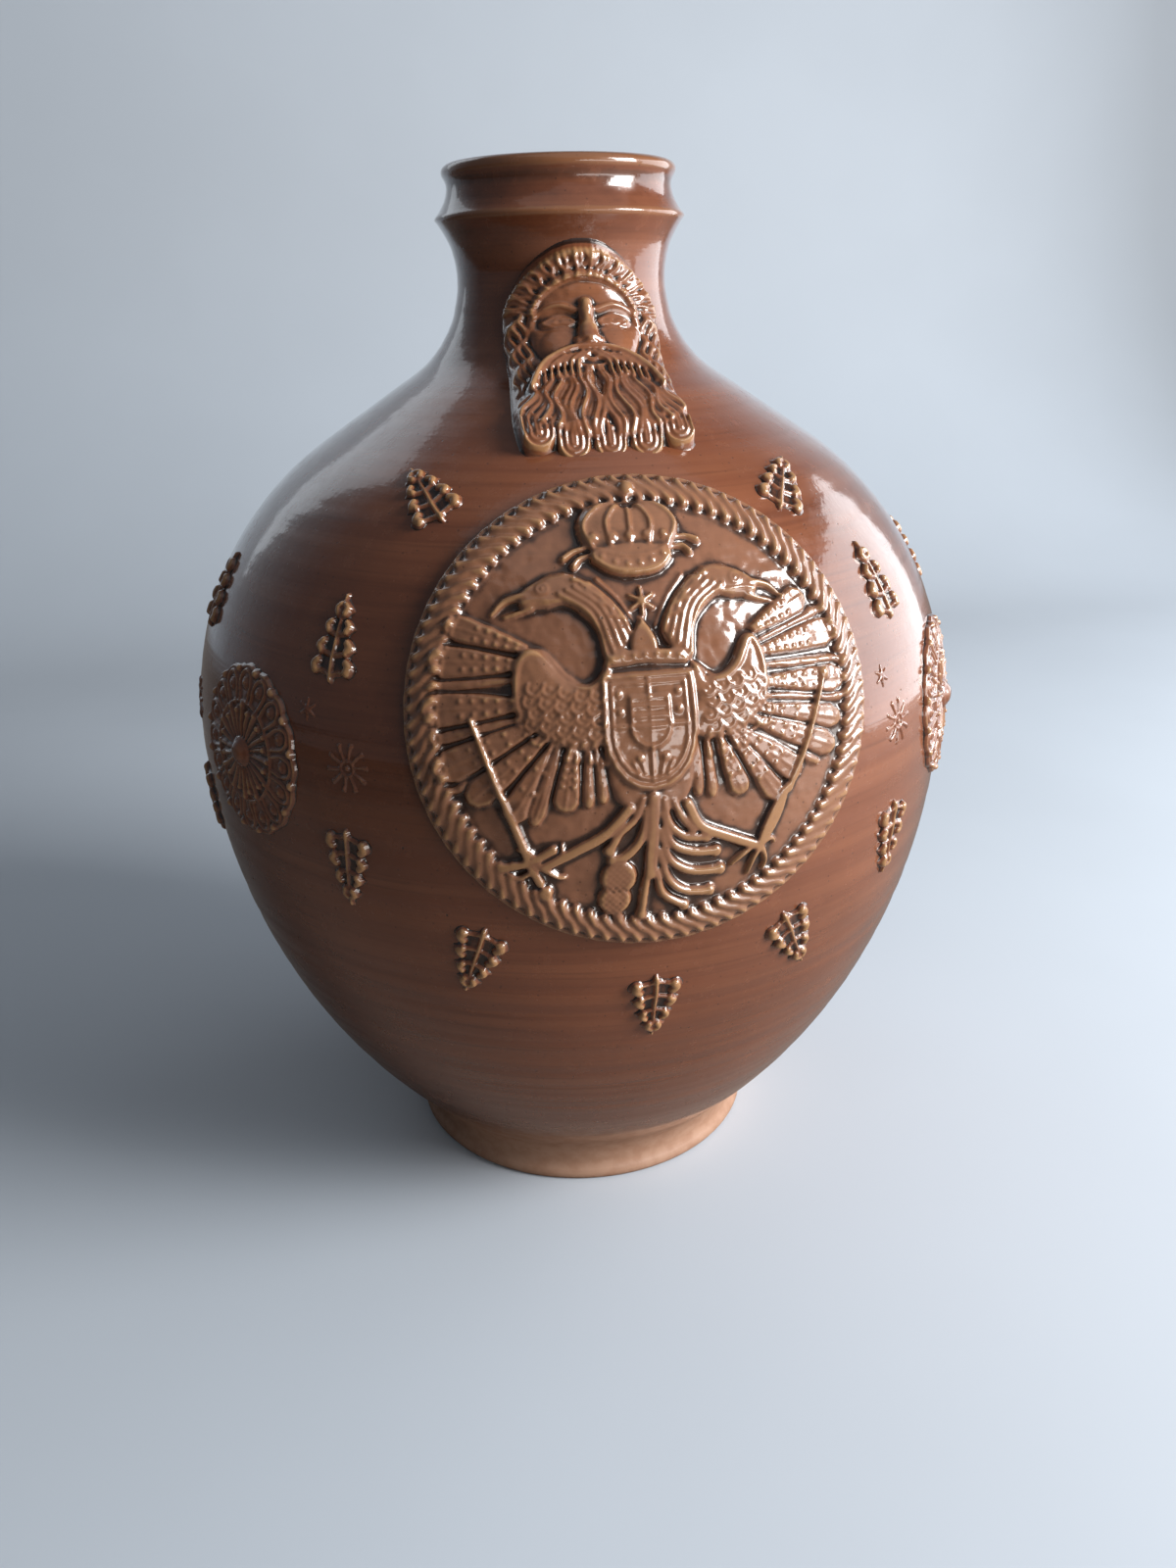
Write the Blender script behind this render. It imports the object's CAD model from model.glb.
# %% [markdown]
# A bartmann jug: a large round stoneware jug with a bearded mask on its neck and pressed
# clay ornaments on its body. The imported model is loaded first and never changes. Each
# piece made below stands for one node of it, in the same place and at the same size.

# %% Load the frame
import math

import bpy
import numpy as np
from mathutils import Matrix, Vector


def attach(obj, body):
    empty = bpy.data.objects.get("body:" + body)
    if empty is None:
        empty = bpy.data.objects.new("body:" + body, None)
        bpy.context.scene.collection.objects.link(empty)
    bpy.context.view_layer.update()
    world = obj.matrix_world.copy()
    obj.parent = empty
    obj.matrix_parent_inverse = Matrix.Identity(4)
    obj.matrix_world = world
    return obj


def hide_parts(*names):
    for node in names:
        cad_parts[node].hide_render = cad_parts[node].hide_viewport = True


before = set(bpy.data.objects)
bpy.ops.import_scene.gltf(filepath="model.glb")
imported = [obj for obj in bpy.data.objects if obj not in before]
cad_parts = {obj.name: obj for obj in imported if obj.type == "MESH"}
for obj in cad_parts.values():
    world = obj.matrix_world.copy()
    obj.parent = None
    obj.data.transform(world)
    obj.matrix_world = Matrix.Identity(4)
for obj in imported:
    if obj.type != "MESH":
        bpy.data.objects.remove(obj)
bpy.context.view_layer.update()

MM = 0.001
print("nodes", sorted(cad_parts))

# %% [markdown]
# The potter's wall. Everything on this jug lies on one turned surface, so the first step is
# its outline: a radius for each height. It could be traced as a spline, but a wall drawn as
# arcs that run into each other is easier to place ornaments on, because its slope is known
# everywhere. All sizes are in millimetres, and they are turned into metres only when a mesh
# is made.

# %% Outline of the wall, in millimetres
JUG_HEIGHT = 378.0
WALL = 6.0
FLOOR = 9.0
BELLY = (144.0, 187.0)
LOWER_RADIUS = 238.0
SHOULDER_RADIUS = 120.0
BELLY_FLOOR_ANGLE = -0.86
NECK = (37.2, 342.0)
COVE_RADIUS = 38.0
FLARE_RADIUS = 29.0
RIDGE_HEIGHT = 360.5
FOOT_COVE_RADIUS = 20.0
WAIST_RADIUS = 70.5

lower_centre = (BELLY[0] - LOWER_RADIUS, BELLY[1])
shoulder_centre = (BELLY[0] - SHOULDER_RADIUS, BELLY[1])
cove_centre = (NECK[0] + COVE_RADIUS, NECK[1])
flare_centre = (NECK[0] + FLARE_RADIUS, NECK[1])
foot_reach = WAIST_RADIUS + FOOT_COVE_RADIUS - lower_centre[0]
foot_drop = math.sqrt((LOWER_RADIUS + FOOT_COVE_RADIUS) ** 2 - foot_reach**2)
foot_centre = (WAIST_RADIUS + FOOT_COVE_RADIUS, BELLY[1] - foot_drop)
foot_angle = -math.atan2(foot_drop, foot_reach)
gap = (cove_centre[0] - shoulder_centre[0], cove_centre[1] - shoulder_centre[1])
slope_angle = math.atan2(gap[1], gap[0]) - math.acos(
    (SHOULDER_RADIUS + COVE_RADIUS) / math.hypot(*gap)
)
ridge_angle = math.pi - math.asin((RIDGE_HEIGHT - NECK[1]) / FLARE_RADIUS)


def arc(centre, radius, start, end, step=1.0):
    """Points along an arc, about one step apart, as radius and height."""
    count = max(3, round(abs(end - start) * radius / step))
    angles = np.linspace(start, end, count)
    return np.stack([centre[0] + radius * np.cos(angles), centre[1] + radius * np.sin(angles)], 1)


outside = np.concatenate([
    arc(foot_centre, FOOT_COVE_RADIUS, math.pi, foot_angle + math.pi),
    arc(lower_centre, LOWER_RADIUS, foot_angle, 0)[1:],
    arc(shoulder_centre, SHOULDER_RADIUS, 0, slope_angle)[1:],
    arc(cove_centre, COVE_RADIUS, slope_angle + math.pi, math.pi),
    arc(flare_centre, FLARE_RADIUS, math.pi, ridge_angle)[1:],
])
inside = np.concatenate([
    arc(lower_centre, LOWER_RADIUS - WALL, BELLY_FLOOR_ANGLE, 0, 4.0),
    arc(shoulder_centre, SHOULDER_RADIUS - WALL, 0, slope_angle, 4.0)[1:],
    arc(cove_centre, COVE_RADIUS + WALL, slope_angle + math.pi, math.pi, 4.0),
])
inside = inside[inside[:, 1] > FLOOR]
print("widest radius", outside[:, 0].max(), "shoulder slope in degrees", math.degrees(slope_angle))


# %% Points and directions on the wall
def wall_radius(height):
    """The wall's radius at a height."""
    return np.interp(height, outside[:, 1], outside[:, 0])


def wall_direction(x, y, height):
    """The direction square to the wall at points of it."""
    rise = wall_radius(height + 0.5) - wall_radius(height - 0.5)
    around = np.hypot(x, y)
    direction = np.stack([x / around, y / around, -rise], -1)
    return direction / np.linalg.norm(direction, axis=-1, keepdims=True)


def place_on_wall(azimuth, height, turn=0.0, tilt=None):
    """A flat frame on the wall, square to it or tilted: its middle, right, up and out."""
    angle = math.radians(azimuth)
    radius = float(wall_radius(height))
    middle = np.array([radius * math.sin(angle), -radius * math.cos(angle), height])
    out = wall_direction(middle[:1], middle[1:2], np.array([height]))[0]
    if tilt is not None:
        rise = math.radians(tilt)
        level = math.cos(rise)
        out = np.array([math.sin(angle) * level, -math.cos(angle) * level, math.sin(rise)])
    right = np.array([math.cos(angle), math.sin(angle), 0.0])
    up = np.cross(out, right)
    c, s = math.cos(math.radians(turn)), math.sin(math.radians(turn))
    return middle, right * c + up * s, up * c - right * s, out


DEEPEST, HIGHEST, HALVINGS = -60.0, 20.0, 26


def drop_on_wall(place, u, v):
    """Where points of a flat frame meet the wall when they are pushed straight in."""
    middle, right, up, out = place
    flat = middle + u[..., None] * right + v[..., None] * up
    low, high = np.full(u.shape, DEEPEST), np.full(u.shape, HIGHEST)
    for _ in range(HALVINGS):
        depth = (low + high) / 2
        point = flat + depth[..., None] * out
        inward = np.hypot(point[..., 0], point[..., 1]) < wall_radius(point[..., 2])
        low, high = np.where(inward, depth, low), np.where(inward, high, depth)
    return flat + depth[..., None] * out


print("the mask's place is", round(float(wall_radius(318.0)), 1), "mm from the axis")

# %% [markdown]
# The ornaments were pressed in carved moulds and stuck to the wet wall. Each one is modelled
# as a carver would see it: a pad of clay whose height is known at every point of a fine grid.
# Strokes, pads and dots raise it, grooves cut it, and a slight blur rounds everything as the
# glaze does. A sculpted mesh could show the same, but a height grid keeps every feather and
# strand as a line of real sizes that can be moved.

# %% A pad of clay
SINK = 0.35


def smooth_line(points, closed=False, per_span=8):
    """A curve through the points, as many short spans."""
    p = np.asarray(points, float)
    if len(p) < 3:
        return p
    before = p[-1:] if closed else 2 * p[:1] - p[1:2]
    after = p[:2] if closed else 2 * p[-1:] - p[-2:-1]
    q = np.concatenate([before, p, after])
    t = np.linspace(0, 1, per_span, endpoint=False)[:, None]
    spans = []
    for a, b, c, d in zip(q[:-3], q[1:-2], q[2:-1], q[3:]):
        spans.append(0.5 * (2 * b + (c - a) * t + (2 * a - 5 * b + 4 * c - d) * t**2
                            + (3 * b - a - 3 * c + d) * t**3))
    return np.concatenate(spans + ([] if closed else [p[-1:]]))


def blur(field, sigma):
    """A field blurred by a bell curve, sigma in cells."""
    reach = max(1, int(3 * sigma))
    bell = np.exp(-0.5 * (np.arange(-reach, reach + 1) / sigma) ** 2)
    bell /= bell.sum()
    padded = np.pad(field, reach, mode="edge")
    rows = sum(w * padded[:, k:k + field.shape[1]] for k, w in enumerate(bell))
    return sum(w * rows[k:k + field.shape[0]] for k, w in enumerate(bell))


class Clay:
    """Heights above the wall over a grid of u, to the right, and v, upward."""

    def __init__(self, left, right, low, high, step):
        self.step = step
        u = np.arange(left, right + step, step)
        v = np.arange(low, high + step, step)
        self.u, self.v = np.meshgrid(u, v)
        self.h = np.full(self.u.shape, -SINK)
        self.base = self.h.copy()

    def settle(self):
        """What is made next lies on top of what is here now."""
        self.base = self.h.copy()

    def window(self, points, margin):
        """The part of the grid round some points."""
        low, high = points.min(0) - margin, points.max(0) + margin
        a = np.searchsorted(self.u[0], [low[0], high[0]])
        b = np.searchsorted(self.v[:, 0], [low[1], high[1]])
        return slice(max(b[0] - 1, 0), b[1] + 1), slice(max(a[0] - 1, 0), a[1] + 1)

    def near_line(self, line, margin):
        """The window round a line, with each point's distance to it and its share along it."""
        where = self.window(line, margin)
        u, v = self.u[where], self.v[where]
        best, share = np.full(u.shape, 1e9), np.zeros(u.shape)
        lengths = np.linalg.norm(np.diff(line, axis=0), axis=1)
        total = max(lengths.sum(), 1e-9)
        done = 0.0
        for a, b, length in zip(line[:-1], line[1:], lengths):
            d = (b - a) / max(length**2, 1e-12)
            t = np.clip((u - a[0]) * d[0] + (v - a[1]) * d[1], 0, 1)
            away = np.hypot(u - a[0] - t * (b[0] - a[0]), v - a[1] - t * (b[1] - a[1]))
            nearer = away < best
            best = np.where(nearer, away, best)
            share = np.where(nearer, (done + t * length) / total, share)
            done += length
        return where, best, share

    def stroke(self, points, width, height, ends=(1.0, 1.0), flat=0.0, curved=True):
        """A rounded ridge along a line. ends scales its width at its start and end."""
        line = smooth_line(points) if curved else np.asarray(points, float)
        where, away, share = self.near_line(line, width)
        swell = ends[0] + (ends[1] - ends[0]) * share
        t = np.clip(away / (0.5 * width * swell), 0, 1)
        t = np.clip((t - flat) / (1 - flat), 0, 1)
        made = self.base[where] + height * np.sqrt(swell.clip(0.3, 1)) * np.sqrt(1 - t**2)
        self.h[where] = np.where(t < 1, np.maximum(self.h[where], made), self.h[where])

    def groove(self, points, width, depth, ends=(1.0, 1.0), curved=True):
        """A rounded cut along a line."""
        line = smooth_line(points) if curved else np.asarray(points, float)
        where, away, share = self.near_line(line, width)
        t = np.clip(away / (0.5 * width * (ends[0] + (ends[1] - ends[0]) * share)), 0, 1)
        self.h[where] -= depth * (1 - t**2) ** 1.5

    def inside_depth(self, outline, margin=1.0):
        """The window round a closed outline, and how deep inside it each point lies."""
        line = np.concatenate([outline, outline[:1]])
        where, away, _ = self.near_line(line, margin)
        u, v = self.u[where], self.v[where]
        inside_it = np.zeros(u.shape, bool)
        for a, b in zip(line[:-1], line[1:]):
            crosses = (a[1] > v) != (b[1] > v)
            with np.errstate(divide="ignore", invalid="ignore"):
                side = u < (b[0] - a[0]) * (v - a[1]) / (b[1] - a[1]) + a[0]
            inside_it ^= crosses & side
        return where, np.where(inside_it, away, -away)

    def pad(self, outline, height, edge, curved=True, crown=0.0):
        """An area raised to a height, with a rounded edge and a crown towards its middle."""
        line = smooth_line(outline, closed=True) if curved else np.asarray(outline, float)
        where, depth = self.inside_depth(line)
        t = np.clip(1 - depth / edge, 0, 1)
        rise = np.sqrt(1 - t**2) * height + crown * np.clip(depth, 0, None)
        made = self.base[where] + rise
        self.h[where] = np.where(depth > 0, np.maximum(self.h[where], made), self.h[where])

    def dot(self, u, v, radius, height):
        """A round bead."""
        self.stroke([(u, v), (u + 1e-3, v)], 2 * radius, height, curved=False)

    def finish(self, rng, softness, grain, grain_size=0.9):
        """The glaze's rounding, and the unevenness of pressed clay."""
        self.h = blur(self.h, softness / self.step)
        noise = blur(rng.standard_normal(self.h.shape), grain_size / self.step)
        self.h += np.where(self.h > 0, grain * noise / noise.std(), 0)


def tell(part, clay):
    """Say what was made, and how far the clay stands out now."""
    print(part, "made, up to", round(float(clay.h.max()), 2), "mm")


print("clay sinks", SINK, "mm into the wall")

# %% [markdown]
# A pad of clay becomes a mesh in one function for all ornaments. Its fine grid is pushed
# straight onto the wall and raised along the wall's own direction, so a flat design bends
# with the jug. Its edge dips just under the wall, which gives a clean line where it is luted
# on. The back is a coarser grid inside the wall, so each piece is a closed body. Relief that
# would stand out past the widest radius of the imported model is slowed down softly. How far a
# point stands above its surroundings is stored with the mesh: the glaze runs thin there and
# pools in the hollows, and the finish reads that number.

# %% From clay to a closed mesh
BACK_DEPTH = 1.2
COARSE = 4
FARTHEST = 147.75
SOFT_STOP = 0.8


def new_mesh(name, points, faces, values=None):
    """A mesh object in metres from points in millimetres, smooth all over."""
    mesh = bpy.data.meshes.new(name)
    mesh.from_pydata((np.asarray(points) * MM).tolist(), [], faces)
    mesh.polygons.foreach_set("use_smooth", [True] * len(mesh.polygons))
    for key, numbers in (values or {}).items():
        layer = mesh.attributes.new(key, "FLOAT", "POINT")
        layer.data.foreach_set("value", np.asarray(numbers, np.float32))
    thing = bpy.data.objects.new(name, mesh)
    bpy.context.scene.collection.objects.link(thing)
    return thing


def kept_cells(tall):
    """The coarse cells that become mesh: those that stand out and their neighbours, without pinches."""
    keep = tall.copy()
    keep[1:] |= tall[:-1]
    keep[:-1] |= tall[1:]
    keep[:, 1:] |= tall[:, :-1]
    keep[:, :-1] |= tall[:, 1:]
    for _ in range(4):
        a, b, c, d = keep[:-1, :-1], keep[:-1, 1:], keep[1:, 1:], keep[1:, :-1]
        rising, falling = a & c & ~b & ~d, b & d & ~a & ~c
        keep[:-1, 1:] |= rising
        keep[:-1, :-1] |= falling
    return keep


def press(clay, name, place, swell=0.9):
    """The clay pad pressed onto the wall as one closed mesh."""
    cells_v, cells_u = ((n - 1) // COARSE for n in clay.h.shape)
    rows, columns = cells_v * COARSE + 1, cells_u * COARSE + 1
    h = clay.h[:rows, :columns]
    wall = drop_on_wall(place, clay.u[:rows, :columns], clay.v[:rows, :columns])
    out = wall_direction(wall[..., 0], wall[..., 1], wall[..., 2])
    blocks = [h[i:i + cells_v * COARSE:COARSE, j:j + cells_u * COARSE:COARSE]
              for i in range(COARSE) for j in range(COARSE)]
    keep = kept_cells(np.stack(blocks).max(0) > 0)

    fine = np.kron(keep, np.ones((COARSE, COARSE), bool))
    used = np.zeros((rows, columns), bool)
    corner = np.zeros((cells_v + 1, cells_u + 1), bool)
    for i in (0, 1):
        for j in (0, 1):
            used[i:rows - 1 + i, j:columns - 1 + j] |= fine
            corner[i:cells_v + i, j:cells_u + j] |= keep
    number = np.full((rows, columns), -1)
    number[used] = np.arange(used.sum())
    back_number = np.full(corner.shape, -1)
    back_number[corner] = used.sum() + np.arange(corner.sum())
    top = wall[used] + out[used] * h[used][:, None]
    radius = np.hypot(top[:, 0], top[:, 1])
    over = np.clip(radius - FARTHEST + SOFT_STOP, 0, None)
    limited = radius - over + SOFT_STOP * (1 - np.exp(-over / SOFT_STOP))
    top[:, :2] *= (limited / radius)[:, None]
    back = (wall - out * BACK_DEPTH)[::COARSE, ::COARSE][corner]

    a, b = number[:-1, :-1][fine], number[:-1, 1:][fine]
    c, d = number[1:, 1:][fine], number[1:, :-1][fine]
    faces = np.stack([a, b, c, d], 1).tolist()
    a, b = back_number[:-1, :-1][keep], back_number[:-1, 1:][keep]
    c, d = back_number[1:, 1:][keep], back_number[1:, :-1][keep]
    faces += np.stack([d, c, b, a], 1).tolist()

    open_side = np.pad(keep, 1)
    for i, j in zip(*np.nonzero(keep)):
        y, x = i * COARSE, j * COARSE
        sides = [
            (open_side[i, j + 1], [(y, x + k) for k in range(COARSE, -1, -1)]),
            (open_side[i + 2, j + 1], [(y + COARSE, x + k) for k in range(COARSE + 1)]),
            (open_side[i + 1, j], [(y + k, x) for k in range(COARSE + 1)]),
            (open_side[i + 1, j + 2], [(y + k, x + COARSE) for k in range(COARSE, -1, -1)]),
        ]
        for neighbour, edge in sides:
            if not neighbour:
                ends = [(p[0] // COARSE, p[1] // COARSE) for p in (edge[-1], edge[0])]
                faces.append([int(number[p]) for p in edge] + [int(back_number[p]) for p in ends])

    around = blur(np.maximum(h, 0), swell / clay.step)
    zeros = np.zeros(int(corner.sum()))
    thing = new_mesh(name, np.concatenate([top, back]), faces, {
        "ridge": np.concatenate([(h - around)[used], zeros]),
        "relief": np.concatenate([h[used], zeros]),
    })
    print(name, len(faces), "faces, stands out", round(float(h.max()), 2), "mm")
    return thing

# %% [markdown]
# The front medallion is the jug's showpiece: a double-headed eagle with a crown and a shield
# inside a twisted rope. On the real jug it came from one wooden mould about 14 cm wide. Here
# the rope is a ring of slanted strands, and each feather is a pad with raised rims and small
# beads, laid in the order in which a carver would cut them: the deepest layer first.

# %% Feathers, scales and rope
SEED = 1664
rng = np.random.default_rng(SEED)


def polar(radius, angle):
    """A point at an angle in degrees, as u and v."""
    return radius * math.cos(math.radians(angle)), radius * math.sin(math.radians(angle))


def off(u, v, radius, angle):
    """A point at a radius and an angle from u and v."""
    return u + polar(radius, angle)[0], v + polar(radius, angle)[1]


def ring(radius, u=0.0, v=0.0, sides=48):
    """A closed round line."""
    return [off(u, v, radius, 360 * k / sides) for k in range(sides + 1)]


def along(a, b, share, aside=0.0):
    """A point part of the way from a to b, moved aside to the left of the line."""
    a, b = np.asarray(a, float), np.asarray(b, float)
    side = np.array([-(b - a)[1], (b - a)[0]]) / np.linalg.norm(b - a)
    return tuple(a + (b - a) * share + side * aside)


def feather(clay, root, tip, width, height, beads):
    """A wing feather: a flat pad with raised rims, a shaft, and beads on its inner half."""
    half = width / 2
    sides = [(0, 0.3), (0.5, 0.8), (0.86, 1.0), (0.97, 0.6), (1.0, 0), (0.97, -0.6), (0.86, -1.0),
             (0.5, -0.8), (0, -0.3)]
    outline = [along(root, tip, share, aside * half) for share, aside in sides]
    clay.groove(outline, 2.4, 1.0, curved=False)
    clay.h = np.maximum(clay.h, clay.base)
    clay.pad(outline, height, 0.8, curved=False)
    kept = clay.base
    clay.settle()
    clay.stroke(outline, 1.1, 0.5, curved=False)
    clay.stroke([along(root, tip, 0.45, 0), along(root, tip, 0.93, 0)], 0.8, 0.25, curved=False)
    for k in range(beads):
        share = 0.12 + 0.5 * k / max(beads - 1, 1)
        for side in (-0.32, 0.32):
            u, v = along(root, tip, share, side * half * (0.7 + share))
            clay.dot(u, v, 0.75, 0.55)
    clay.base = kept


def scale(clay, u, v, angle):
    """A small scale with a raised round rim, open towards the root."""
    rim = [off(u, v, 1.9, angle + turn) for turn in range(-100, 101, 40)]
    clay.stroke(rim, 1.1, 0.65)
    clay.dot(u, v, 0.8, 0.38)


def rope(clay, radius, width, strands, height):
    """A ring of slanted strands that swell in their middle."""
    clay.stroke(ring(radius), width, 0.6 * height, flat=0.2)
    for k in range(strands):
        turn = 360 * k / strands
        middle = np.array(polar(radius, turn))
        slant = np.array(polar(1.0, turn + 48))
        bend = np.array(polar(0.9, turn - 42))
        line = [middle - slant * 0.64 * width, middle + bend * 0.4 - slant * 0.2 * width,
                middle - bend * 0.4 + slant * 0.2 * width, middle + slant * 0.64 * width]
        clay.stroke(line, 1.75 * math.pi * radius / strands, height, ends=(0.7, 0.7))


print("random draws start from", SEED)

# %% The medallion's field and rope
medal = Clay(-72.6, 72.6, -72.6, 72.6, 0.36)
medal.pad(ring(71.4), 2.1, 1.6, curved=False)
medal.settle()
medal.stroke(ring(70.4), 1.5, 0.8)
medal.stroke(ring(69.2), 0.8, 0.3)
rope(medal, 65.2, 7.4, 88, 2.4)
medal.stroke(ring(60.7), 0.9, 0.4)
medal.settle()
tell("field and rope", medal)

# %% The wings: root, tip, width and pairs of beads of each feather
BROAD = 5
left_wing = [
    ((-37, 12), (-62.5, 11.6), 3.0, 0), ((-37, 1), (-63, -3.6), 3.2, 0),
    ((-33, -3), (-58, -18.6), 3.0, 0), ((-34.5, 20), (-56, 29), 7.4, 5),
    ((-37, 16), (-61.5, 19), 9.4, 5), ((-37, 5), (-64.5, 5), 9.8, 5),
    ((-34, -1), (-62.5, -13), 9.6, 4), ((-31, -4), (-54, -22), 8.4, 4),
    ((-28, -6), (-43, -28), 8.4, 3), ((-27, -5), (-36.5, -30), 4.2, 0),
    ((-24, -7), (-27.5, -26.5), 7.4, 5), ((-20, -7), (-20.6, -26), 3.4, 0),
    ((-17.5, -8), (-16.4, -25), 3.2, 0),
]
right_wing = [
    ((33, 18), (56, 26.5), 3.2, 0), ((34, 11), (62, 11), 3.0, 0), ((32, 2), (61, 0), 3.2, 0),
    ((26, -5), (52, -19.5), 3.0, 0), ((31, 21), (50.5, 31), 7.8, 5), ((33, 15), (59.5, 20.5), 8.4, 6),
    ((33, 6), (61.5, 5.6), 8.2, 5), ((30, -1), (60, -6.5), 7.2, 4), ((28, -4), (57.5, -15), 7.8, 5),
    ((24, -7), (45, -22), 8.0, 4), ((22, -8), (37.5, -28.5), 6.6, 4), ((18, -8), (25.5, -26), 6.4, 3),
    ((14, -8), (16, -26), 3.4, 0), ((11.5, -8), (11.6, -25), 3.0, 0),
]
for root, tip, width, beads in left_wing + right_wing:
    feather(medal, root, tip, width, 1.25 if width > BROAD else 0.95, beads)

# The shoulders of the wings, rounded and covered with scales
wing_shoulders = [
    [(-12, 14), (-18, 9), (-25, 11), (-31, 19), (-36, 20), (-39.5, 13), (-39, 2), (-34, -4),
     (-27, -8), (-17, -9), (-12, -4)],
    [(11, 14), (16, 9), (22, 11), (27, 19), (31.5, 20), (34.5, 13), (34, 2), (30, -4),
     (24, -8), (14, -9), (9, -4)],
]
for outline in wing_shoulders:
    medal.pad(outline, 1.7, 2.4, crown=0.08)
medal.pad([(-13, 16), (9, 16), (12, -4), (9, -24), (-2, -30), (-13, -24), (-16, -4)], 1.2, 2.5)
medal.settle()
for side, wrist in ((-1, -37), (1, 32)):
    medal.stroke([(side * 13, 12), (side * 19, 8.5), (side * 25, 12), (side * 30 - 1, 19),
                  (wrist, 17), (wrist + side * 2, 8), (wrist + side * 1.5, 0)], 2.4, 0.8)
    for row in range(5):
        for k in range(5):
            u = side * (15.5 + 4.3 * k + 1.2 * (row % 2)) + (-1 if side < 0 else 0)
            v = 5.5 - 3.4 * row + 0.9 * k + rng.uniform(-0.4, 0.4)
            if row < 4 or k > 1:
                scale(medal, u, v, -90 + side * 38)
    for k in range(4):
        medal.stroke([(side * (15 + 3 * k), -7), (side * (15.4 + 3.6 * k), -13 + 0.8 * k)], 2.9, 0.7,
                     ends=(0.6, 1.0))
tell("wings", medal)


# %% Necks of long narrow feathers, heads with an eye and an open hooked beak
def at_side(side, points):
    """Points of the right head, or of the left one, which stands a little further out."""
    shift = -1.0 if side > 0 else 0.0
    return [(side * u + shift, v) for u, v in points]


for side in (-1, 1):
    head = [(9, 14), (4.5, 24), (12, 35), (20, 40.5), (28, 40), (35, 36), (35, 31.5), (28, 31),
            (22, 31), (15, 24), (13.5, 15)]
    medal.pad(at_side(side, head), 1.6, 1.8, crown=0.1)
    upper_beak, lower_beak = [(33, 35), (39, 34.2), (43.5, 30.6)], [(32, 31.4), (37, 30.2), (40, 29.6)]
    medal.stroke(at_side(side, upper_beak), 3.0, 2.0, ends=(1.0, 0.4))
    medal.stroke(at_side(side, lower_beak), 1.8, 1.5, ends=(1.0, 0.6))
    medal.settle()
    eye = at_side(side, [(28.5, 36.4)])[0]
    medal.stroke(ring(1.5, *eye, sides=10), 0.8, 0.5)
    medal.dot(*eye, 0.8, 0.7)
    crest, gape = [(19, 40.4), (26, 40.8), (33, 36.8), (42, 32)], [(24, 32.6), (30, 33.4), (35, 33)]
    medal.stroke(at_side(side, crest), 1.0, 0.5, ends=(1, 0.5))
    medal.stroke(at_side(side, gape), 0.9, 0.4)
    for k in range(6):
        plume = [(24 - 2.2 * k, 34.5 + 0.8 * k), (15.5 - 1.7 * k + 0.4, 28 + 0.8 * k),
                 (12.6 - 1.9 * k, 15.5 + 1.7 * k)]
        medal.stroke(at_side(side, plume), 1.7, 0.75, ends=(1.0, 0.6))
    for k in range(4):
        tuft = [(19.5 - 3.1 * k, 38.4 - 3.6 * k), (15 - 3.0 * k, 36.6 - 3.4 * k)]
        medal.stroke(at_side(side, tuft), 1.5, 0.8, ends=(1, 0.5))
tell("necks and heads", medal)

# %% Legs, spread claws, a sword on the left and a sceptre on the right
GROUND = 2.1
OVER_CLAWS = 3.0
medal.base[:] = GROUND
medal.stroke([(-9, -27), (-16, -34), (-25, -38.5), (-34, -42.5)], 3.2, 2.2)
medal.stroke([(8, -27), (12, -34), (20, -38), (31, -42.5)], 3.2, 2.2)
for toes in (
    [((-34, -42), (-29, -39), (-28.5, -36.5)), ((-34, -43), (-30, -46), (-28, -46.5)),
     ((-36, -43), (-41, -45.5), (-44.5, -43)), ((-35, -42), (-38, -37.5), (-41, -37))],
    [((31, -42), (35, -40.5), (36.5, -42)), ((31, -43), (29, -47), (27.5, -51)),
     ((29, -42), (25, -45), (22, -47.5)), ((32, -43), (33.5, -47), (32.5, -50))],
):
    for toe in toes:
        medal.stroke(toe, 2.3, 1.9, ends=(1, 0.45))
medal.base[:] = OVER_CLAWS
medal.stroke([(-51.6, 1.5), (-45.2, -19.5), (-38.2, -40)], 2.5, 1.7, ends=(0.6, 1.0))
medal.stroke([(-45.5, -42), (-38.5, -41), (-31, -37.6)], 2.4, 1.6)
medal.stroke([(-38, -41), (-35, -47.5)], 2.6, 1.5)
medal.dot(-33.6, -50.6, 2.1, 1.7)
medal.stroke([(53.2, 6), (47.5, -10), (40.5, -26)], 2.2, 1.6, ends=(0.7, 1.0))
medal.dot(53.8, 7.4, 2.0, 1.6)
medal.pad([(40.5, -25), (38, -34), (33, -41.5), (30.4, -41), (33.6, -33), (38.4, -25)], 1.6, 1.4)
tell("legs", medal)

# %% The tail: a feathered shaft, curling plumes and two hatched round tips
medal.base[:] = GROUND
medal.stroke([(-2, -24), (-2.4, -36), (-3, -47)], 4.0, 2.0)
for plume in (
    [(-5, -24), (-7.5, -30), (-12, -34), (-15, -39)], [(-4, -27), (-5.6, -36), (-10, -41), (-14, -42)],
    [(1, -25), (2.4, -32), (7, -36.6), (14, -37.6)], [(0.6, -29), (3, -38), (9, -41.6), (17, -42.4)],
    [(0.2, -34), (2.6, -43), (9, -47.6), (18.5, -48.4)],
    [(-0.6, -40), (2.6, -49.6), (8, -54), (15.4, -54.8)],
    [(-3, -44), (-4.6, -52), (-5.6, -60)], [(-1.4, -46), (1, -54), (7.5, -58.6)],
    [(4, -26), (6.5, -31), (9.6, -34.4)],
):
    medal.stroke(plume, 3.2, 1.5, ends=(0.8, 0.95))
    medal.dot(*plume[-1], 1.9, 1.6)
round_tips = ((-12.4, -47.6, 5.4), (-13.6, -54.4, 5.0))
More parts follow.
